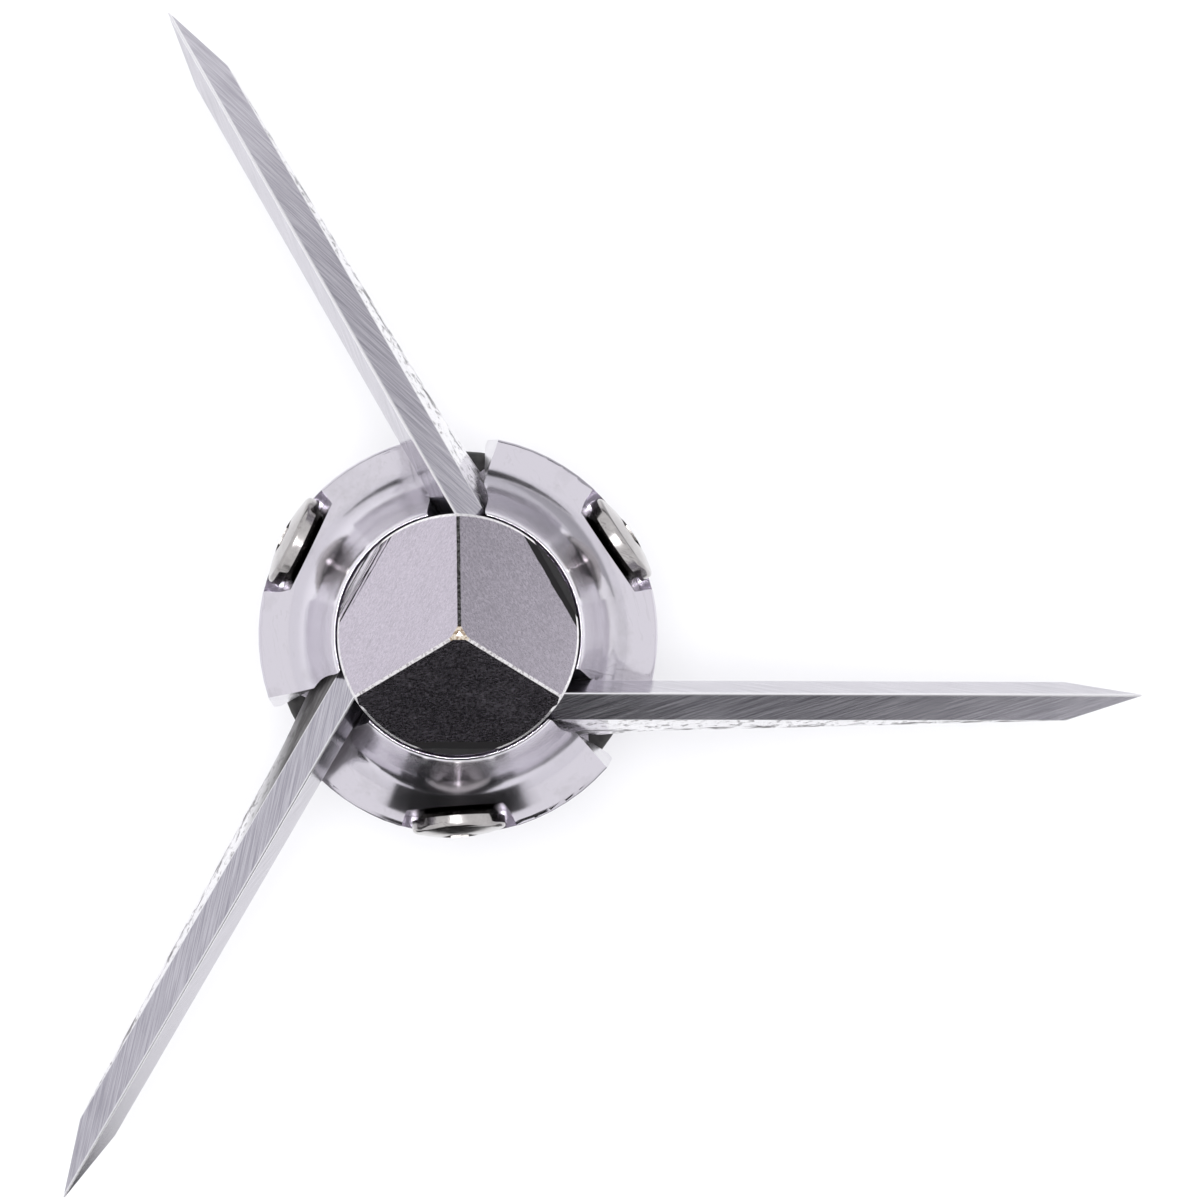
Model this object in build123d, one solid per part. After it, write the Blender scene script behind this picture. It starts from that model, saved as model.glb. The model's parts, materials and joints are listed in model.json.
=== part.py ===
from build123d import *
import os
from math import acos, atan2, cos, degrees, hypot, radians, sin, tan

# Three-blade expandable broadhead, blades deployed. Millimetres.
# Z is the axis of the head, with the cutting tip up. z = 0 is the shoulder that seats on the arrow,
# and the first blade points along +X. Blades, slots and pivot screws repeat at three stations.

os.makedirs("parts", exist_ok=True)

# Stations round the axis
BLADE_COUNT = 3
STATION_ANGLE = 360 / BLADE_COUNT
BEYOND = 30.0                               # a length that clears the head in any direction

# Shank that screws into the arrow: a plain pilot, then an 8-32 thread
PILOT_RADIUS = 2.565
PILOT_LENGTH = 8.5
THREAD_RADIUS = 2.083
THREAD_PITCH = 25.4 / 32
THREAD_CREST = 1 / 8                        # parts of the pitch taken by the crest and a flank
THREAD_FLANK = 5 / 16
THREAD_DEPTH = 0.45
THREAD_FADE = 0.2                           # how much lower the first and last ridges are
THREAD_RELIEF = 0.6                         # plain neck between pilot and thread
SHANK_LENGTH = 16.5

# Ferrule: rear flange, O-ring groove, body, flared shoulder and neck
FLANGE_RADIUS = 4.2
FLANGE_HEIGHT = 0.95
GROOVE_RADIUS = 3.52
GROOVE_TOP = 1.75
BODY_RADIUS = 4.54
BODY_TOP = 6.85
SHOULDER_SLOPE = 0.4                        # rise per unit inward where the flare starts
SHOULDER_ROUND = 0.2
FLARE_POINTS = ((3.76, 7.39), (3.2, 8.85), (2.76, 11.95))  # radius and height up the flare
FLARE_TOP = 14.6
NECK_RADIUS = 2.58
NECK_TOP = 18.5
EDGE_BREAK = 0.15
SOCKET_RADIUS = 1.3                         # hole in the neck that takes the tip's spigot
SOCKET_DEPTH = 4.0

# Plane of a blade: set off the axis, turned a little about the axis and leaning a little outward
# towards the rear. Slopes are sideways travel per unit along the blade and per unit of height.
PIVOT_ALONG = -0.14
PIVOT_OFFSET = 1.97
PIVOT_HEIGHT = 6.0
YAW_SLOPE = 0.069
LEAN_SLOPE = 0.09

# Blade, measured from its pivot: along the blade, then towards the tip of the head
BLADE_THICKNESS = 0.9
BLADE_TIP = (15.94, -5.80)
SWEEP_ANGLE = 40.0                          # cutting edge back from square across the head
FRONT_ALONG = 1.14                          # where the cutting edge starts
SPINE_END = (14.14, -5.97)
SPINE_START = (4.34, -0.82)
SPINE_FILLET = 1.2
ROOT_RADIUS = 1.5
BEVEL_WIDTH = 1.29
EDGE_LAND = 0.03                            # thickness left at the cutting edge
BLADE_HOLE_RADIUS = 0.70
CLOSED_ANGLE = 31.0                         # how far a blade folds back from deployed

# Slot that holds a blade, and the flat cut beside its outer wall
SLOT_GAP_INNER = 0.03
SLOT_GAP_OUTER = 0.16
ROOT_GAP = 0.15
FRONT_GAP = 1.2
REAR_GAP = 0.2
RELIEF_CORNER = (2.52, -2.12, 8.9)
RELIEF_NORMAL = (4.75, 3.90, 0.296)
RELIEF_WIDTH = 1.1
FLOOR_GAP = 0.05

# Pivot screw: domed head in a spotface, thread in the wall, plain nose through the blade
FLOOR_OFFSET = 2.02                         # spotface floor, out from the blade's middle plane
SPOTFACE_RADIUS = 1.45
HEAD_RADIUS = 1.065
UNDERCUT_RADIUS = 0.83                      # head's underside: a short cone that opens outward
UNDERCUT_HEIGHT = 0.20
HEAD_RIM = 0.46
HEAD_FILLET = 0.11
HEAD_HEIGHT = 0.62
SCREW_RADIUS = 0.80
NOSE_RADIUS = 0.65
NOSE_REACH = 0.98                           # nose end, in from the blade's middle plane
SCREW_FIT = 0.02
NOSE_CHAMFER = 0.1
HEX_FLATS = 0.71
HEX_DEPTH = 0.4

# Tip: three ground facets on a round body, each ending in a steeper narrow flat
TIP_RADIUS = 2.64
APEX_HEIGHT = 28.0
APEX_BLUNT = 0.2
FIRST_FACET = 30.0                          # angle that the first facet faces
FACET_SLOPE = 2.6                           # drop per unit out from the axis
FLAT_START = 2.33                           # where a facet turns into its steeper flat
FLAT_SLOPE = 6.5
TIP_FIT = 0.015
SPIGOT_LENGTH = 3.8

# O-ring behind the blades
RING_RADIUS = 3.88
RING_SECTION = 0.36                         # radius of the rubber


def polar(radius, angle):
    """Point in a plane at this radius and angle in degrees."""
    return (radius * cos(radians(angle)), radius * sin(radians(angle)))


def tangent_point(point, radius, side):
    """Where a line from point touches a circle about the origin, on one side (+1 or -1)."""
    distance = hypot(*point)
    bearing = degrees(atan2(point[1], point[0]))
    return polar(radius, bearing + side * degrees(acos(radius / distance)))


def turned(point, angle):
    """Point turned about the pivot by an angle in degrees."""
    return polar(hypot(*point), degrees(atan2(point[1], point[0])) + angle)


def blade_plane(station):
    """Middle plane of a blade: x along it, y towards the tip of the head, z out along its pivot."""
    middle = Plane(
        origin=(PIVOT_ALONG, -PIVOT_OFFSET, PIVOT_HEIGHT),
        x_dir=(1, YAW_SLOPE, 0),
        z_dir=(YAW_SLOPE, -1, LEAN_SLOPE),
    )
    return Plane(Rot(0, 0, station * STATION_ANGLE) * middle.location)


def along_pivot(plane, radius, start, end):
    """Round bar on a blade's pivot axis, between two offsets from the blade's middle plane."""
    bar = Cylinder(radius, end - start, align=(Align.CENTER, Align.CENTER, Align.MIN))
    return plane * Pos(0, 0, start) * bar


BLADE_FRONT = (FRONT_ALONG, BLADE_TIP[1] + (BLADE_TIP[0] - FRONT_ALONG) * tan(radians(SWEEP_ANGLE)))


def blade_shape(plane):
    """Flat blade with a round root, ground to an edge from both sides along its front."""
    body = make_face(Polyline(
        BLADE_FRONT,
        tangent_point(BLADE_FRONT, ROOT_RADIUS, 1),
        tangent_point(SPINE_START, ROOT_RADIUS, -1),
        SPINE_START,
        SPINE_END,
        BLADE_TIP,
        close=True,
    ))
    corner = body.vertices().sort_by_distance((*SPINE_START, 0))[0]
    outline = fillet(corner, SPINE_FILLET) + Circle(ROOT_RADIUS) - Circle(BLADE_HOLE_RADIUS)
    flat = extrude(outline, BLADE_THICKNESS / 2, both=True)

    # Section across the cutting edge, swept past both ends of it
    half = BLADE_THICKNESS / 2
    section = make_face(Polyline(
        (0, EDGE_LAND / 2), (0, -EDGE_LAND / 2), (BEVEL_WIDTH, -half), (BEYOND, -half),
        (BEYOND, half), (BEVEL_WIDTH, half), close=True,
    ))
    edge_direction = Vector(cos(radians(SWEEP_ANGLE)), -sin(radians(SWEEP_ANGLE)), 0)
    inward = Vector(-sin(radians(SWEEP_ANGLE)), -cos(radians(SWEEP_ANGLE)), 0)
    across = Plane(origin=(*BLADE_FRONT, 0), x_dir=inward, z_dir=edge_direction)
    grind = extrude(across * section, BEYOND, both=True)
    return plane * (flat & grind)


def slot_shape(plane):
    """Room for a blade and its root, open outward and to the rear for the folded blade."""
    root = ROOT_RADIUS + ROOT_GAP
    top = BLADE_FRONT[1] + FRONT_GAP
    bottom = FLANGE_HEIGHT - PIVOT_HEIGHT
    folded_spine = turned(SPINE_START, -CLOSED_ANGLE)
    rear = (folded_spine[0] - REAR_GAP, folded_spine[1] - REAR_GAP)
    stop = (BLADE_FRONT[0] - FLOOR_GAP, BLADE_FRONT[1])
    outline = make_face(Polyline(
        (stop[0], top),
        stop,
        tangent_point(stop, root, 1),
        tangent_point(rear, root, -1),
        rear,
        (rear[0], bottom),
        (BEYOND, bottom),
        (BEYOND, top),
        close=True,
    )) + Circle(root)
    inner = BLADE_THICKNESS / 2 + SLOT_GAP_INNER
    outer = BLADE_THICKNESS / 2 + SLOT_GAP_OUTER
    return plane * Pos(0, 0, -inner) * extrude(outline, inner + outer)


def relief_shape(station):
    """Flat cut beside a slot's outer wall, a little off square so that it narrows to the rear."""
    wall = Plane(origin=RELIEF_CORNER, x_dir=(RELIEF_NORMAL[1], -RELIEF_NORMAL[0], 0), z_dir=RELIEF_NORMAL)
    cutter = wall * Box(BEYOND, BEYOND, RELIEF_WIDTH, align=(Align.MIN, Align.CENTER, Align.MIN))
    above_flange = Pos(0, 0, FLANGE_HEIGHT) * Cylinder(
        BEYOND, BEYOND, align=(Align.CENTER, Align.CENTER, Align.MIN))
    return Rot(0, 0, station * STATION_ANGLE) * (cutter & above_flange)


def threaded_shank():
    """Pilot and screw thread, hanging below the seating shoulder. Each turn is a closed ridge."""
    core_radius = THREAD_RADIUS - THREAD_DEPTH
    thread_top = -PILOT_LENGTH - THREAD_RELIEF
    crest = THREAD_CREST * THREAD_PITCH
    flank = THREAD_FLANK * THREAD_PITCH
    turns = int((SHANK_LENGTH + thread_top) / THREAD_PITCH)
    ridges = []
    for turn in range(turns):
        front = thread_top - turn * THREAD_PITCH
        crest_radius = THREAD_RADIUS if 0 < turn < turns - 1 else THREAD_RADIUS - THREAD_FADE
        ridges += [
            (core_radius, front), (crest_radius, front - flank), (crest_radius, front - flank - crest),
            (core_radius, front - 2 * flank - crest),
        ]
    outline = make_face(Polyline(
        (0, 0), (PILOT_RADIUS, 0), (PILOT_RADIUS, EDGE_BREAK - PILOT_LENGTH),
        (PILOT_RADIUS - EDGE_BREAK, -PILOT_LENGTH), (core_radius, -PILOT_LENGTH),
        *ridges,
        (core_radius, EDGE_BREAK - SHANK_LENGTH), (core_radius - EDGE_BREAK, -SHANK_LENGTH),
        (0, -SHANK_LENGTH), close=True,
    ))
    return revolve(Plane.XZ * outline, Axis.Z)


def ferrule_shape():
    """Turned body with its shank, slotted for the blades and bored for screws and tip."""
    flare = Spline(
        (BODY_RADIUS, BODY_TOP), *FLARE_POINTS, (NECK_RADIUS, FLARE_TOP),
        tangents=[(-1, SHOULDER_SLOPE), (0, 1)],
    )
    rear = Polyline(
        (0, NECK_TOP), (0, 0), (FLANGE_RADIUS - EDGE_BREAK, 0), (FLANGE_RADIUS, EDGE_BREAK),
        (FLANGE_RADIUS, FLANGE_HEIGHT), (GROOVE_RADIUS, FLANGE_HEIGHT), (GROOVE_RADIUS, GROOVE_TOP),
        (BODY_RADIUS - EDGE_BREAK, GROOVE_TOP), (BODY_RADIUS, GROOVE_TOP + EDGE_BREAK),
        (BODY_RADIUS, BODY_TOP),
    )
    front = Polyline((NECK_RADIUS, FLARE_TOP), (NECK_RADIUS, NECK_TOP), (0, NECK_TOP))
    outline = make_face(rear + flare + front)
    shoulder = outline.vertices().sort_by_distance((BODY_RADIUS, BODY_TOP, 0))[0]
    outline = fillet(shoulder, SHOULDER_ROUND)
    ferrule = revolve(Plane.XZ * outline, Axis.Z) + threaded_shank()
    ferrule -= Pos(0, 0, NECK_TOP) * Cylinder(
        SOCKET_RADIUS, SOCKET_DEPTH, align=(Align.CENTER, Align.CENTER, Align.MAX))
    for station in range(BLADE_COUNT):
        plane = blade_plane(station)
        ferrule -= slot_shape(plane)
        ferrule -= relief_shape(station)
        ferrule -= along_pivot(plane, SPOTFACE_RADIUS, FLOOR_OFFSET, BEYOND)
        ferrule -= along_pivot(plane, SCREW_RADIUS + SCREW_FIT, 0, FLOOR_OFFSET)
        ferrule -= along_pivot(plane, NOSE_RADIUS + SCREW_FIT, -NOSE_REACH - FLOOR_GAP, 0)
    return ferrule


def screw_shape(plane):
    """Pivot screw with a domed head, hex socket and plain nose."""
    thread_end = BLADE_THICKNESS / 2 + SLOT_GAP_OUTER
    head_top = FLOOR_OFFSET + HEAD_HEIGHT
    rim = FLOOR_OFFSET + HEAD_RIM
    shank = Polyline(
        (0, head_top), (0, -NOSE_REACH), (NOSE_RADIUS - NOSE_CHAMFER, -NOSE_REACH),
        (NOSE_RADIUS, NOSE_CHAMFER - NOSE_REACH), (NOSE_RADIUS, thread_end), (SCREW_RADIUS, thread_end),
        (SCREW_RADIUS, FLOOR_OFFSET), (UNDERCUT_RADIUS, FLOOR_OFFSET),
        (HEAD_RADIUS - HEAD_FILLET, FLOOR_OFFSET + UNDERCUT_HEIGHT),
        (HEAD_RADIUS, FLOOR_OFFSET + UNDERCUT_HEIGHT), (HEAD_RADIUS, rim),
    )
    dome_height = HEAD_HEIGHT - HEAD_RIM
    dome_radius = (HEAD_RADIUS**2 + dome_height**2) / (2 * dome_height)
    dome = RadiusArc((HEAD_RADIUS, rim), (0, head_top), -dome_radius)
    turned_screw = revolve(Plane.XZ * make_face(shank + dome), Axis.Z)
    head_rim = turned_screw.edges().filter_by_position(Axis.Z, rim - HEAD_FILLET, rim + HEAD_FILLET)
    turned_screw = fillet(head_rim, HEAD_FILLET)
    socket = Pos(0, 0, head_top) * extrude(RegularPolygon(HEX_FLATS / 2, 6, major_radius=False), -HEX_DEPTH)
    return plane * (turned_screw - socket)


def tip_shape():
    """Hardened point: a round blank ground to three facets, with a spigot into the ferrule."""
    blank = Pos(0, 0, NECK_TOP) * Cylinder(
        TIP_RADIUS, APEX_HEIGHT - NECK_TOP - APEX_BLUNT, align=(Align.CENTER, Align.CENTER, Align.MIN))
    flat_top = APEX_HEIGHT - FLAT_START * FACET_SLOPE
    flat_drop = (2 * TIP_RADIUS - FLAT_START) * FLAT_SLOPE
    waste = make_face(Polyline(
        (0, APEX_HEIGHT), (FLAT_START, flat_top), (2 * TIP_RADIUS, flat_top - flat_drop),
        (2 * TIP_RADIUS, APEX_HEIGHT + BEYOND), (-TIP_RADIUS, APEX_HEIGHT + BEYOND),
        (-TIP_RADIUS, APEX_HEIGHT + TIP_RADIUS * FACET_SLOPE), close=True,
    ))
    grinder = extrude(Plane.XZ * waste, BEYOND, both=True)
    for station in range(BLADE_COUNT):
        blank -= Rot(0, 0, FIRST_FACET + station * STATION_ANGLE) * grinder
    blank = chamfer(blank.faces().sort_by(Axis.Z)[0].edges(), EDGE_BREAK)
    spigot = Pos(0, 0, NECK_TOP) * Cylinder(
        SOCKET_RADIUS - TIP_FIT, SPIGOT_LENGTH, align=(Align.CENTER, Align.CENTER, Align.MAX))
    return blank + spigot


ring_height = (FLANGE_HEIGHT + GROOVE_TOP) / 2
pieces = {
    "ferrule": ferrule_shape(),
    "faceted_tip": tip_shape(),
    "retaining_ring": Pos(0, 0, ring_height) * Torus(RING_RADIUS, RING_SECTION),
}
for station in range(BLADE_COUNT):
    pieces[f"blade_{station + 1}"] = blade_shape(blade_plane(station))
    pieces[f"pivot_screw_{station + 1}"] = screw_shape(blade_plane(station))

for name, shape in pieces.items():
    export_step(shape, f"parts/{name}.step")
    size = shape.bounding_box().size
    print(f"{name}: {shape.volume:.2f} mm3, {size.X:.2f} x {size.Y:.2f} x {size.Z:.2f} mm")
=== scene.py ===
import json
from math import cos, radians, sin

import bpy
import bmesh
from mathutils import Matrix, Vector


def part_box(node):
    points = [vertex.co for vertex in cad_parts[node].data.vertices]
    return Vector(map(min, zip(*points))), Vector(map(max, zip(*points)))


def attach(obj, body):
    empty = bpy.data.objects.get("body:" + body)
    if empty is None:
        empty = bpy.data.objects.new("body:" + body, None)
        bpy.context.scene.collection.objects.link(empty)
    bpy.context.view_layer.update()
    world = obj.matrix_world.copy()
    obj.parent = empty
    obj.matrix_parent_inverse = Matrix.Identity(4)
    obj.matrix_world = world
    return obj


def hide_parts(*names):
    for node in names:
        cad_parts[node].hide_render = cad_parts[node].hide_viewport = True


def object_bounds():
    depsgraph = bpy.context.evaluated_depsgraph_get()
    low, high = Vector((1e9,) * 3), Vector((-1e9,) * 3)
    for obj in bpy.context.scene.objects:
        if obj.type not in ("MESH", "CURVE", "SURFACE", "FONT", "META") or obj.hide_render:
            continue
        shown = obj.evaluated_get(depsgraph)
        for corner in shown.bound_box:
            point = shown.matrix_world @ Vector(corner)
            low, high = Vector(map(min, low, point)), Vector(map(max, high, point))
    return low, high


# An expandable broadhead on a pale studio floor: a slotted ferrule, a faceted point, three folding
# blades on pivot screws, and a rubber ring behind them. Metres throughout, in the frame of the CAD.
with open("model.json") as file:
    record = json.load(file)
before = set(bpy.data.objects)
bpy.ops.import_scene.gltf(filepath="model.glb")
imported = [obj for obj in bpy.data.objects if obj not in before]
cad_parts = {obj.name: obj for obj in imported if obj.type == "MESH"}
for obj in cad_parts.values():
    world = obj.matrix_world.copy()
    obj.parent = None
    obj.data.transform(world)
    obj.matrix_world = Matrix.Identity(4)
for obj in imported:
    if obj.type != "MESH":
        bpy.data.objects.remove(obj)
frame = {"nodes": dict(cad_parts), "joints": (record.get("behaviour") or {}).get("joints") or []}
cad_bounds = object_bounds()
bpy.ops.object.select_all(action="DESELECT")
mm = 0.001


# ---------------------------------------------------------------------------------------------
# Camera and studio. The head is seen straight down its axis by a long lens. The floor is pale and
# brightest under the head. Matt cards round it show only as reflections in the metal.
camera_data = bpy.data.cameras.new("end_view")
camera_data.lens = 519
camera_data.sensor_width = 36
camera_data.clip_start = 0.01
camera_data.clip_end = 10
camera_data.shift_x = 0.1183
camera_data.shift_y = 0.0292
camera = bpy.data.objects.new("end_view", camera_data)
camera.location = (0, 0, 0.40)
bpy.context.collection.objects.link(camera)
bpy.context.scene.camera = camera
bpy.context.scene.view_settings.view_transform = "Standard"


def matt(name, colour):
    """Plain matt paint for the studio."""
    paint = bpy.data.materials.new(name)
    paint.use_nodes = True
    shader = paint.node_tree.nodes["Principled BSDF"]
    shader.inputs["Base Color"].default_value = (*colour, 1)
    shader.inputs["Roughness"].default_value = 0.9
    shader.inputs["Specular IOR Level"].default_value = 0.1
    return paint


floor_height = cad_bounds[0][2]
bpy.ops.mesh.primitive_plane_add(size=4, location=(0, 0, floor_height))
floor = bpy.context.object
floor.name = "studio_floor"
floor.data.materials.append(matt("pale_floor", (0.86, 0.86, 0.87)))


def seen_in_metal_only(card):
    """Puts a card on the stage so that only glossy surfaces see it, and it shades nothing."""
    card.visible_camera = False
    card.visible_diffuse = False
    card.visible_shadow = False


def add_card(name, low, high, grey):
    """Matt card lying on the floor between two corners in millimetres."""
    middle = [(first + second) / 2 * mm for first, second in zip(low, high)]
    bpy.ops.mesh.primitive_plane_add(size=1, location=(*middle, floor_height + 0.3 * mm))
    card = bpy.context.object
    card.name = name
    card.scale = ((high[0] - low[0]) * mm, (high[1] - low[1]) * mm, 1)
    bpy.ops.object.transform_apply(location=True, scale=True)
    card.data.materials.append(matt(name, (grey, grey, grey * 1.03)))
    seen_in_metal_only(card)


# Black card for the lowest facet and the flare below it, dark one for the bevel of the first blade
add_card("facet_card", (-17, -62), (10, -16), 0.012)
add_card("blade_card", (10, -30), (36, -13.8), 0.16)
# Grey cards for the facet on the upper right, the blade above it and the blade on the left
add_card("grey_card", (20, 15.5), (75, 75), 0.40)
add_card("upper_card", (5, 15.5), (20, 75), 0.56)
add_card("left_card", (-34, -14), (-15, 6), 0.70)
# Standing black card, for the lower side of the ferrule's flare and shoulder
bpy.ops.mesh.primitive_plane_add(
    size=1, location=(0, -62 * mm, 12 * mm), rotation=(radians(90), 0, 0))
standing = bpy.context.object
standing.name = "standing_card"
standing.scale = (52 * mm, 56 * mm, 1)
bpy.ops.object.transform_apply(location=True, rotation=True, scale=True)
standing.data.materials.append(matt("standing_card", (0.015, 0.015, 0.015)))
seen_in_metal_only(standing)
# Black card far off, for the upper ridge of the point
add_card("ridge_card", (-90, 85), (90, 450), 0.012)


def hang(lamp, place, target):
    """Puts a lamp at a place, turned to face a point."""
    lamp.location = place
    lamp.rotation_euler = (Vector(target) - Vector(place)).to_track_quat("-Z", "Y").to_euler()
    bpy.context.collection.objects.link(lamp)


pool_data = bpy.data.lights.new("floor_pool", "SPOT")
pool_data.energy = 6.5
pool_data.spot_size = radians(10)
pool_data.spot_blend = 1.0
pool_data.shadow_soft_size = 0.04
hang(bpy.data.objects.new("floor_pool", pool_data), (0, 0, 0.55), (0, 0, floor_height))

softbox_data = bpy.data.lights.new("softbox", "AREA")
softbox_data.size = 0.25
softbox_data.energy = 0.5
hang(bpy.data.objects.new("softbox", softbox_data), (-0.12, 0.10, 0.70), (0, 0, 0))

world = bpy.data.worlds.new("studio_air")
world.use_nodes = True
world.node_tree.nodes["Background"].inputs["Color"].default_value = (0.98, 0.98, 1.0, 1)
world.node_tree.nodes["Background"].inputs["Strength"].default_value = 0.95
bpy.context.scene.world = world


# ---------------------------------------------------------------------------------------------
# Ferrule: the body that carries everything, turned from bar, slotted, drilled and bright polished.
# Its shank ends in the pilot and thread that screw into the arrow.

def node(tree, kind, values=None, **settings):
    """New node with its settings, and with constant values on named inputs."""
    made = tree.nodes.new("ShaderNode" + kind)
    for label, value in settings.items():
        setattr(made, label, value)
    for socket, value in (values or {}).items():
        made.inputs[socket].default_value = value
    return made


def maths(tree, operation, first, second=0.5):
    """Math node on two inputs, each a socket or a number."""
    made = node(tree, "Math", operation=operation)
    for index, value in enumerate((first, second)):
        if isinstance(value, (int, float)):
            made.inputs[index].default_value = value
        else:
            tree.links.new(value, made.inputs[index])
    return made.outputs[0]


def ramp(tree, factor, *stops):
    """Colour ramp over a factor. Each stop is a position and a grey or a colour."""
    made = node(tree, "ValToRGB")
    while len(made.color_ramp.elements) < len(stops):
        made.color_ramp.elements.new(0.5)
    for element, (position, colour) in zip(made.color_ramp.elements, stops):
        element.position = position
        element.color = (colour, colour, colour, 1) if isinstance(colour, (int, float)) else (*colour, 1)
    tree.links.new(factor, made.inputs["Fac"])
    return made.outputs["Color"]


def noise(tree, place, scale, detail=3.0, roughness=0.6):
    """Noise read at a place."""
    made = node(tree, "TexNoise", {"Scale": scale, "Detail": detail, "Roughness": roughness})
    tree.links.new(place, made.inputs["Vector"])
    return made.outputs["Fac"]


def mixed(tree, factor, first, second):
    """Mix of two colours, each a socket or a colour, by a factor."""
    made = node(tree, "MixRGB")
    tree.links.new(factor, made.inputs["Fac"])
    for socket, value in (("Color1", first), ("Color2", second)):
        if isinstance(value, tuple):
            made.inputs[socket].default_value = (*value, 1)
        else:
            tree.links.new(value, made.inputs[socket])
    return made.outputs["Color"]


def new_group(name, inputs, outputs):
    """Empty shader node group. inputs are (name, kind, value), outputs are (name, kind)."""
    group = bpy.data.node_groups.new(name, "ShaderNodeTree")
    for label, kind, value in inputs:
        socket = group.interface.new_socket(label, in_out="INPUT", socket_type="NodeSocket" + kind)
        if value is not None:
            socket.default_value = value
    for label, kind in outputs:
        group.interface.new_socket(label, in_out="OUTPUT", socket_type="NodeSocket" + kind)
    return group, group.nodes.new("NodeGroupInput"), group.nodes.new("NodeGroupOutput")


# Fine scratches: thin straight lines along one direction, broken up into short lengths
scratches, group_in, group_out = new_group(
    "fine_scratches",
    [("Vector", "Vector", None), ("Turn", "Float", 0.0), ("Scale", "Float", 6000.0),
     ("Amount", "Float", 0.5)],
    [("Mask", "Float")])
aligned = node(scratches, "VectorRotate", rotation_type="Z_AXIS")
scratches.links.new(group_in.outputs["Vector"], aligned.inputs["Vector"])
scratches.links.new(group_in.outputs["Turn"], aligned.inputs["Angle"])
stretched = node(scratches, "VectorMath", operation="MULTIPLY")
stretched.inputs[1].default_value = (0.04, 1, 1)
scratches.links.new(aligned.outputs["Vector"], stretched.inputs[0])
lines = node(scratches, "TexNoise", {"Detail": 2.0, "Roughness": 0.5})
scratches.links.new(stretched.outputs["Vector"], lines.inputs["Vector"])
scratches.links.new(group_in.outputs["Scale"], lines.inputs["Scale"])
fine = maths(scratches, "LESS_THAN", maths(scratches, "ABSOLUTE", maths(
    scratches, "SUBTRACT", lines.outputs["Fac"], 0.5)), 0.02)
lengths = maths(scratches, "GREATER_THAN", noise(scratches, group_in.outputs["Vector"], 1500.0), 0.52)
scratches.links.new(
    maths(scratches, "MULTIPLY", maths(scratches, "MULTIPLY", fine, lengths), group_in.outputs["Amount"]),
    group_out.inputs["Mask"])

# Drawn-out noise: long soft streaks along one direction
streaky, group_in, group_out = new_group(
    "drawn_out_noise",
    [("Vector", "Vector", None), ("Turn", "Float", 0.0), ("Scale", "Float", 6000.0)],
    [("Streaks", "Float")])
aligned = node(streaky, "VectorRotate", rotation_type="Z_AXIS")
streaky.links.new(group_in.outputs["Vector"], aligned.inputs["Vector"])
streaky.links.new(group_in.outputs["Turn"], aligned.inputs["Angle"])
stretched = node(streaky, "VectorMath", operation="MULTIPLY")
stretched.inputs[1].default_value = (0.05, 1, 1)
streaky.links.new(aligned.outputs["Vector"], stretched.inputs[0])
drawn_out = node(streaky, "TexNoise", {"Detail": 4.0, "Roughness": 0.6})
streaky.links.new(stretched.outputs["Vector"], drawn_out.inputs["Vector"])
streaky.links.new(group_in.outputs["Scale"], drawn_out.inputs["Scale"])
streaky.links.new(drawn_out.outputs["Fac"], group_out.inputs["Streaks"])

# Turning lines: fine rings round the axis, from height and radius, fading in and out
turning_lines, group_in, group_out = new_group(
    "turning_lines",
    [("Vector", "Vector", None), ("Spacing", "Float", 0.05 * mm), ("Fading", "Float", 0.5)],
    [("Lines", "Float")])
split = node(turning_lines, "SeparateXYZ")
turning_lines.links.new(group_in.outputs["Vector"], split.inputs[0])
x_squared = maths(turning_lines, "MULTIPLY", split.outputs["X"], split.outputs["X"])
y_squared = maths(turning_lines, "MULTIPLY", split.outputs["Y"], split.outputs["Y"])
radius = maths(turning_lines, "SQRT", maths(turning_lines, "ADD", x_squared, y_squared))
ring_place = node(turning_lines, "CombineXYZ")
turning_lines.links.new(
    maths(turning_lines, "DIVIDE", split.outputs["Z"], group_in.outputs["Spacing"]), ring_place.inputs["X"])
turning_lines.links.new(
    maths(turning_lines, "DIVIDE", radius, group_in.outputs["Spacing"]), ring_place.inputs["Y"])
patches = maths(turning_lines, "MULTIPLY", noise(turning_lines, group_in.outputs["Vector"], 900.0),
                group_in.outputs["Fading"])
turning_lines.links.new(
    maths(turning_lines, "MULTIPLY", noise(turning_lines, ring_place.outputs[0], 0.35),
          maths(turning_lines, "SUBTRACT", 1.0, patches)),
    group_out.inputs["Lines"])

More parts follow.
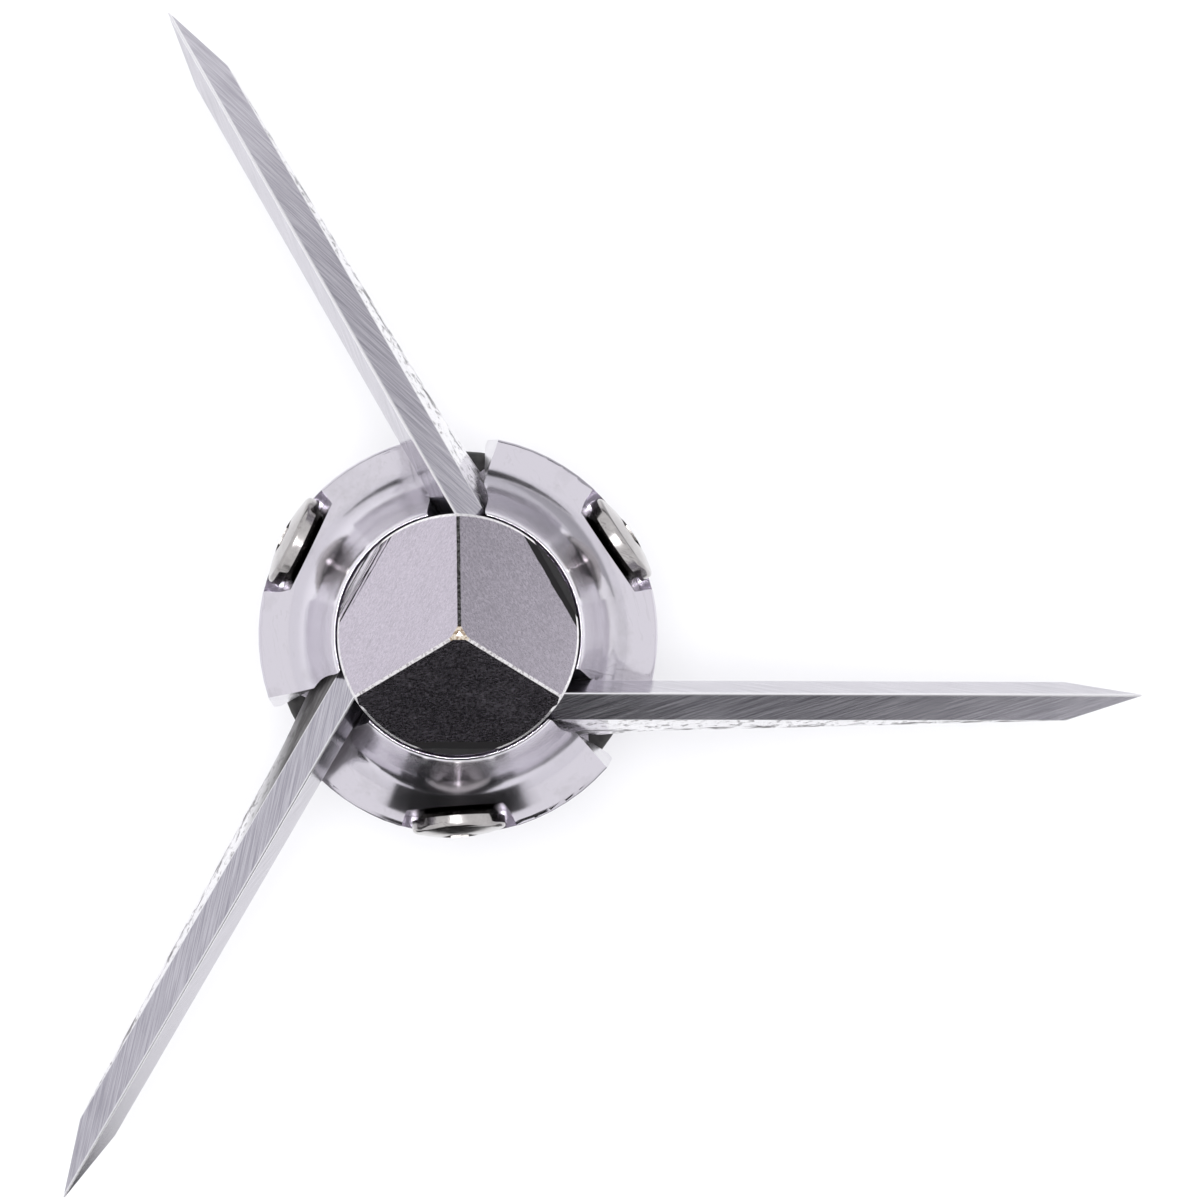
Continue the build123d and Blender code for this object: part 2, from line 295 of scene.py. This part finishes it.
# Distance out along a pivot screw's axis, counted from its blade's middle plane, and only inside
# the circle of the screw's spot-face
spotface_radius = 1.45 * mm
pivot_reach, group_in, group_out = new_group(
    "pivot_reach", [("Vector", "Vector", None)], [("Reach", "Float")])
reach = -1.0
for joint in frame["joints"]:
    outward = [-part for part in joint["axis"]]
    offset = node(pivot_reach, "VectorMath", operation="SUBTRACT")
    offset.inputs[1].default_value = joint["pos_m"]
    pivot_reach.links.new(group_in.outputs["Vector"], offset.inputs[0])
    along_axis = node(pivot_reach, "VectorMath", operation="DOT_PRODUCT")
    along_axis.inputs[1].default_value = outward
    pivot_reach.links.new(offset.outputs["Vector"], along_axis.inputs[0])
    sideways = node(pivot_reach, "VectorMath", operation="CROSS_PRODUCT")
    sideways.inputs[1].default_value = outward
    pivot_reach.links.new(offset.outputs["Vector"], sideways.inputs[0])
    off_axis = node(pivot_reach, "VectorMath", operation="LENGTH")
    pivot_reach.links.new(sideways.outputs["Vector"], off_axis.inputs[0])
    inside = maths(pivot_reach, "LESS_THAN", off_axis.outputs["Value"], spotface_radius)
    counted = maths(pivot_reach, "MULTIPLY", along_axis.outputs["Value"], inside)
    reach = maths(pivot_reach, "MAXIMUM", counted, reach)
pivot_reach.links.new(reach, group_out.inputs["Reach"])


def metal(name, base, roughness):
    """Metal with its node tree, shader and Object coordinates, ready for its own wear and grain."""
    made = bpy.data.materials.new(name)
    made.use_nodes = True
    shader = made.node_tree.nodes["Principled BSDF"]
    shader.inputs["Base Color"].default_value = (*base, 1)
    shader.inputs["Metallic"].default_value = 1.0
    shader.inputs["Roughness"].default_value = roughness
    return made, made.node_tree, shader, node(made.node_tree, "TexCoord").outputs["Object"]


def placed_group(tree, group, place, **values):
    """A node group put into a material, reading this place, with its own values."""
    made = tree.nodes.new("ShaderNodeGroup")
    made.node_tree = group
    tree.links.new(place, made.inputs["Vector"])
    for label, value in values.items():
        made.inputs[label].default_value = value
    return made.outputs[0]


def bump(tree, shader, height, strength, distance):
    """Bump from a height, into the shader's normal."""
    made = node(tree, "Bump", {"Strength": strength, "Distance": distance})
    tree.links.new(height, made.inputs["Height"])
    tree.links.new(made.outputs["Normal"], shader.inputs["Normal"])


polished, tree, shader, place = metal("polished_ferrule", (0.72, 0.69, 0.75), 0.14)
smears = noise(tree, place, 420.0, 4.0)
lines = placed_group(tree, turning_lines, place, Spacing=0.05 * mm, Fading=0.6)
marks = placed_group(tree, scratches, place, Turn=radians(70), Scale=5000.0, Amount=0.15)
tree.links.new(ramp(tree, smears, (0.30, 0.10), (0.75, 0.22)), shader.inputs["Roughness"])
smudges = ramp(tree, noise(tree, place, 330.0, 5.0, 0.65), (0.52, 0.0), (0.68, 0.7))
tint = mixed(tree, smudges, (0.72, 0.69, 0.75), (0.52, 0.50, 0.525))
marked = mixed(tree, marks, tint, (0.52, 0.50, 0.52))
# Painted shade: black on the floor of each spot-face, in the gap under the screw head
spotface_floor = 2.02 * mm
recess_shade_thickness = 0.006 * mm
from_floor = maths(tree, "ABSOLUTE", maths(
    tree, "SUBTRACT", placed_group(tree, pivot_reach, place), spotface_floor))
recess_shade = maths(tree, "LESS_THAN", from_floor, recess_shade_thickness)
tree.links.new(mixed(tree, recess_shade, marked, (0.03, 0.028, 0.028)), shader.inputs["Base Color"])
bump(tree, shader, lines, 0.25, 0.004 * mm)
frame["nodes"]["ferrule"].material_slots[0].material = polished


# ---------------------------------------------------------------------------------------------
# Point: a short bar of hardened steel, ground to three facets with a steeper narrow flat at the
# foot of each, then tumbled, which rounds its edges a little and leaves it satin.
facet_slope = 2.6
flat_slope = 6.5
facet_rim = 2.33 * mm
blunt = 0.2 * mm
spigot_radius = 1.285 * mm
dark_edge_waver = 0.06 * mm
tinted_height = 0.33 * mm
ridge_wear = 0.065 * mm
point_low, point_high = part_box("faceted_tip")
point_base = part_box("ferrule")[1][2]
point_radius = point_high[0]
apex = point_high[2] + blunt

bpy.ops.mesh.primitive_cylinder_add(
    vertices=128, radius=point_radius, depth=point_high[2] - point_base,
    location=(0, 0, (point_high[2] + point_base) / 2))
point = bpy.context.object
point.name = "ground_point"
bpy.ops.object.transform_apply(location=True)
bpy.ops.object.mode_set(mode="EDIT")
for facet in range(3):
    angle = radians(30 + 120 * facet)
    for slope, rim in ((facet_slope, 0), (flat_slope, facet_rim)):
        bpy.ops.mesh.select_all(action="SELECT")
        bpy.ops.mesh.bisect(
            plane_co=(rim * cos(angle), rim * sin(angle), apex - facet_slope * rim),
            plane_no=Vector((slope * cos(angle), slope * sin(angle), 1)).normalized(),
            use_fill=True, clear_outer=True)


def select_faces(shape, wanted):
    """In edit mode, selects only the faces that a test on their middle and normal accepts."""
    bpy.ops.mesh.select_mode(type="FACE")
    bpy.ops.mesh.select_all(action="DESELECT")
    mesh = bmesh.from_edit_mesh(shape.data)
    for face in mesh.faces:
        face.select_set(wanted(face.calc_center_median(), face.normal))
    bmesh.update_edit_mesh(shape.data)


# The spigot that holds the point in the ferrule
select_faces(point, lambda middle, normal: normal.z < -0.9)
bpy.ops.mesh.inset(thickness=point_radius - spigot_radius)
bpy.ops.mesh.extrude_region_move(TRANSFORM_OT_translate={"value": (0, 0, point_low[2] - point_base)})
bpy.ops.object.mode_set(mode="OBJECT")


satin, tree, shader, place = metal("satin_point", (0.54, 0.505, 0.56), 0.24)
speckle = noise(tree, place, 12000.0, 4.0, 0.75)
cloud = noise(tree, place, 700.0, 4.0)
marks = placed_group(tree, scratches, place, Turn=radians(-55), Scale=7000.0, Amount=0.35)
grain = ramp(tree, speckle, (0.35, (0.43, 0.39, 0.455)), (0.65, (0.64, 0.585, 0.67)))
scratched = mixed(tree, marks, grain, (0.30, 0.28, 0.31))
# Painted dark reflection on the narrow flats, whole on two of them and broken into streaks on the other
painted_dark_flats = 0.0
for angle, least in ((30, 0.30), (150, 0.50), (270, 0.30)):
    streak_noise = placed_group(tree, streaky, place, Turn=radians(90 - angle), Scale=9000.0)
    wavy = maths(tree, "ADD", maths(tree, "MULTIPLY", streak_noise, dark_edge_waver), facet_rim - dark_edge_waver / 2)
    outward = node(tree, "VectorMath", operation="DOT_PRODUCT")
    outward.inputs[1].default_value = (cos(radians(angle)), sin(radians(angle)), 0)
    tree.links.new(place, outward.inputs[0])
    on_flat = maths(tree, "GREATER_THAN", outward.outputs["Value"], wavy)
    kept = maths(tree, "MULTIPLY", on_flat, maths(tree, "GREATER_THAN", streak_noise, least))
    painted_dark_flats = maths(tree, "MAXIMUM", kept, painted_dark_flats)
tree.links.new(mixed(tree, painted_dark_flats, scratched, (0.014, 0.013, 0.014)), shader.inputs["Base Color"])
tree.links.new(maths(tree, "SUBTRACT", 1.0, painted_dark_flats), shader.inputs["Metallic"])
gloss = maths(tree, "ADD", ramp(tree, cloud, (0.3, 0.0), (0.7, 0.06)),
              ramp(tree, speckle, (0.45, 0.19), (0.65, 0.33)))
tree.links.new(mixed(tree, painted_dark_flats, gloss, (0.85, 0.85, 0.85)), shader.inputs["Roughness"])
shader.inputs["Specular IOR Level"].default_value = 0.1
bump(tree, shader, speckle, 0.6, 0.002 * mm)
point.data.materials.append(satin)

rubbed_edge, tree, shader, place = metal("rubbed_edge", (0.88, 0.86, 0.87), 0.18)
nicks = noise(tree, place, 12000.0, 3.0)
worn = ramp(tree, nicks, (0.40, (0.50, 0.47, 0.48)), (0.50, (0.95, 0.93, 0.93)))
# Straw tint at the very apex
height = node(tree, "SeparateXYZ")
tree.links.new(place, height.inputs[0])
at_apex = maths(tree, "GREATER_THAN", height.outputs["Z"], apex - tinted_height)
straw = ramp(tree, nicks, (0.42, (0.38, 0.28, 0.20)), (0.55, (0.86, 0.77, 0.64)))
tree.links.new(mixed(tree, at_apex, worn, straw), shader.inputs["Base Color"])
tree.links.new(ramp(tree, nicks, (0.3, 0.12), (0.7, 0.24)), shader.inputs["Roughness"])
bump(tree, shader, nicks, 0.15, 0.003 * mm)
point.data.materials.append(rubbed_edge)

# The ridges are rubbed flat, and take the second material
edges = point.modifiers.new("edges", "BEVEL")
edges.width = ridge_wear
edges.segments = 1
edges.limit_method = "ANGLE"
edges.angle_limit = radians(25)
edges.material = 1
bpy.ops.object.modifier_apply(modifier="edges")
bpy.ops.object.shade_smooth_by_angle(angle=radians(12))
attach(point, "head")
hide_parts("faceted_tip")


# ---------------------------------------------------------------------------------------------
# Blades: flat strip steel, ground to an edge from both sides. The wheel leaves slanting lines on
# the bevels, the flats keep the strip's rolled finish, and every edge is broken by a hair.
sweep = radians(40)
blade_tip = Vector((15.94, -5.80)) * mm
shoulder_rounding = 0.030 * mm
corner_rounding = 0.035 * mm


def select_edges(shape, least, low, high):
    """In edit mode, selects the edges longer than a length whose faces meet between two angles."""
    bpy.ops.mesh.select_mode(type="EDGE")
    bpy.ops.mesh.select_all(action="DESELECT")
    mesh = bmesh.from_edit_mesh(shape.data)
    for edge in mesh.edges:
        if len(edge.link_faces) == 2 and edge.calc_length() > least:
            edge.select_set(radians(low) < edge.calc_face_angle() < radians(high))
    bmesh.update_edit_mesh(shape.data)


def ground_copy(number, joint):
    """Copy of a blade with its shoulders and corners broken. Its UV map is in the blade's plane,
    in millimetres: U away from the cutting edge, V along it."""
    source = frame["nodes"][f"blade_{number}"]
    blade = source.copy()
    blade.data = source.data.copy()
    blade.name = f"ground_blade_{number}"
    blade.data.materials.clear()
    bpy.context.collection.objects.link(blade)
    bpy.ops.object.select_all(action="DESELECT")
    blade.select_set(True)
    bpy.context.view_layer.objects.active = blade
    bpy.ops.mesh.customdata_custom_splitnormals_clear()
    bpy.ops.object.mode_set(mode="EDIT")
    bpy.ops.mesh.select_all(action="SELECT")
    bpy.ops.mesh.remove_doubles(threshold=0.0005 * mm)
    bpy.ops.mesh.dissolve_limited(angle_limit=radians(0.5))
    for low, high, width in ((12, 40, shoulder_rounding), (80, 100, corner_rounding)):
        select_edges(blade, 1.0 * mm, low, high)
        bpy.ops.mesh.bevel(offset=width, segments=2, clamp_overlap=True)
    bpy.ops.object.mode_set(mode="OBJECT")
    bpy.ops.object.shade_smooth_by_angle(angle=radians(12))

    inward = Vector(joint["axis"])
    outward = inward.cross(Vector((0, 0, 1))).normalized()
    upward = outward.cross(inward)
    uv_map = blade.data.uv_layers.new(name="blade_plane")
    blade.data.uv_layers.active = uv_map
    for loop in blade.data.loops:
        offset = blade.data.vertices[loop.vertex_index].co - Vector(joint["pos_m"])
        flat = (Vector((offset.dot(outward), offset.dot(upward))) - blade_tip) / mm
        uv_map.data[loop.index].uv = (-flat.x * sin(sweep) - flat.y * cos(sweep),
                                      -flat.x * cos(sweep) + flat.y * sin(sweep))
    return blade


# Places on the blade's UV map, in millimetres, and the spine's taper across it
bevel_width = 1.29
honed_width = 0.06
blade_length = 20.0
spine_stain = 0.45
spine_taper = 0.2175
ground, tree, shader, place = metal("ground_blade", (0.52, 0.51, 0.555), 0.22)
blade_uv = node(tree, "UVMap", uv_map="blade_plane").outputs["UV"]
split = node(tree, "SeparateXYZ")
tree.links.new(blade_uv, split.inputs[0])
on_bevel = maths(tree, "LESS_THAN", split.outputs["X"], bevel_width)
wheel_lines = placed_group(tree, streaky, blade_uv, Turn=radians(-45), Scale=13.0)
rolled = noise(tree, place, 1600.0, 4.0, 0.65)
squeezed = node(tree, "Mapping", {"Scale": (1.0, 1.0, 0.3)})
tree.links.new(place, squeezed.inputs["Vector"])
spots = ramp(tree, noise(tree, squeezed.outputs["Vector"], 5500.0, 3.0), (0.54, 0.0), (0.64, 1.0))
bevel_tint = ramp(tree, wheel_lines, (0.40, (0.29, 0.275, 0.325)), (0.60, (0.58, 0.56, 0.61)))
flat_tint = mixed(tree, spots, (0.74, 0.73, 0.75), (0.42, 0.41, 0.42))
# Dull grime on the flats, in patches along the spine; by the root of the third blade, a thick painted dark
# reflection of the slot wall
by_root = ramp(tree, maths(tree, "DIVIDE", split.outputs["Y"], blade_length), (0.53, 0.0), (0.68, 1.0))
from_spine = maths(tree, "SUBTRACT", split.outputs["X"], maths(
    tree, "MULTIPLY", split.outputs["Y"], spine_taper))
by_spine = maths(tree, "GREATER_THAN", from_spine, spine_stain)
patchy = ramp(tree, rolled, (0.48, 0.0), (0.62, 0.7))
placed = node(tree, "SeparateXYZ")
tree.links.new(place, placed.inputs[0])
on_third = maths(tree, "LESS_THAN", maths(
    tree, "ADD", placed.outputs["X"], placed.outputs["Y"]), -3 * mm)
painted_root_reflection = maths(tree, "MULTIPLY", maths(tree, "MULTIPLY", by_root, on_third),
              ramp(tree, rolled, (0.3, 0.8), (0.6, 1.0)))
grime_and_dark_reflection = maths(tree, "MAXIMUM", painted_root_reflection, maths(tree, "MULTIPLY", by_spine, patchy))
grime_and_dark_reflection = maths(tree, "MULTIPLY", maths(tree, "MAXIMUM", grime_and_dark_reflection, maths(tree, "MULTIPLY", spots, 0.3)),
              maths(tree, "SUBTRACT", 1.0, on_bevel))
tree.links.new(maths(tree, "SUBTRACT", 1.0, grime_and_dark_reflection), shader.inputs["Metallic"])
shader.inputs["Specular IOR Level"].default_value = 0.1
flat_tint = mixed(tree, grime_and_dark_reflection, flat_tint, (0.10, 0.095, 0.095))
ground_tint = mixed(tree, on_bevel, flat_tint, bevel_tint)
# Bright lines: the honed cutting edge, and a painted highlight along the shoulder
at_edge = maths(tree, "LESS_THAN", split.outputs["X"], honed_width)
at_shoulder = maths(tree, "LESS_THAN", maths(tree, "ABSOLUTE", maths(
    tree, "SUBTRACT", split.outputs["X"], bevel_width)), shoulder_rounding / mm)
honed_edge_and_highlight = maths(tree, "MAXIMUM", at_edge, at_shoulder)
tree.links.new(mixed(tree, honed_edge_and_highlight, ground_tint, (0.84, 0.83, 0.85)), shader.inputs["Base Color"])
bevel_gloss = ramp(tree, wheel_lines, (0.3, 0.15), (0.7, 0.27))
flat_gloss = mixed(tree, grime_and_dark_reflection, ramp(tree, rolled, (0.3, 0.10), (0.7, 0.24)), (0.85, 0.85, 0.85))
tree.links.new(mixed(tree, on_bevel, flat_gloss, bevel_gloss), shader.inputs["Roughness"])
grind = mixed(tree, on_bevel, ramp(tree, rolled, (0.0, 0.3), (1.0, 0.5)), wheel_lines)
bump(tree, shader, grind, 0.35, 0.006 * mm)
joints = {joint["child"]: joint for joint in frame["joints"]}
for number, body in enumerate(("first_blade", "second_blade", "third_blade"), start=1):
    blade = ground_copy(number, joints[body])
    blade.data.materials.append(ground)
    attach(blade, body)
    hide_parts(f"blade_{number}")


# ---------------------------------------------------------------------------------------------
# Pivot screws: small bright stainless screws with a domed head, an undercut and a hex socket.
# They are driven into the ferrule through the spot-faces, one through each blade.

shaded_undercut_height = 0.08 * mm
stainless, tree, shader, place = metal("stainless_screw", (0.48, 0.46, 0.455), 0.16)
handling = noise(tree, place, 2500.0)
marks = placed_group(tree, scratches, place, Turn=radians(20), Scale=8000.0, Amount=0.5)
bright = ramp(tree, handling, (0.3, (0.40, 0.38, 0.375)), (0.7, (0.54, 0.52, 0.51)))
marked = mixed(tree, marks, bright, (0.28, 0.265, 0.26))
# The painted shade reaches a little way up the undercut
recess_shade = maths(tree, "LESS_THAN", placed_group(tree, pivot_reach, place), spotface_floor + shaded_undercut_height)
tree.links.new(mixed(tree, recess_shade, marked, (0.03, 0.028, 0.028)), shader.inputs["Base Color"])
tree.links.new(ramp(tree, handling, (0.3, 0.11), (0.7, 0.24)), shader.inputs["Roughness"])
bump(tree, shader, handling, 0.2, 0.003 * mm)
for number in (1, 2, 3):
    frame["nodes"][f"pivot_screw_{number}"].material_slots[0].material = stainless


# ---------------------------------------------------------------------------------------------
# Ring: a moulded black rubber O-ring, stretched into the groove behind the blades. A little dust
# sits on it.

rubber, tree, shader, place = metal("black_rubber", (0.02, 0.02, 0.02), 0.55)
shader.inputs["Metallic"].default_value = 0.0
shader.inputs["Specular IOR Level"].default_value = 0.4
dust = noise(tree, place, 3000.0, 4.0)
tree.links.new(ramp(tree, dust, (0.45, (0.018, 0.017, 0.018)), (0.75, (0.06, 0.058, 0.055))),
               shader.inputs["Base Color"])
tree.links.new(ramp(tree, dust, (0.35, 0.45), (0.7, 0.7)), shader.inputs["Roughness"])
bump(tree, shader, dust, 0.4, 0.01 * mm)
frame["nodes"]["retaining_ring"].material_slots[0].material = rubber
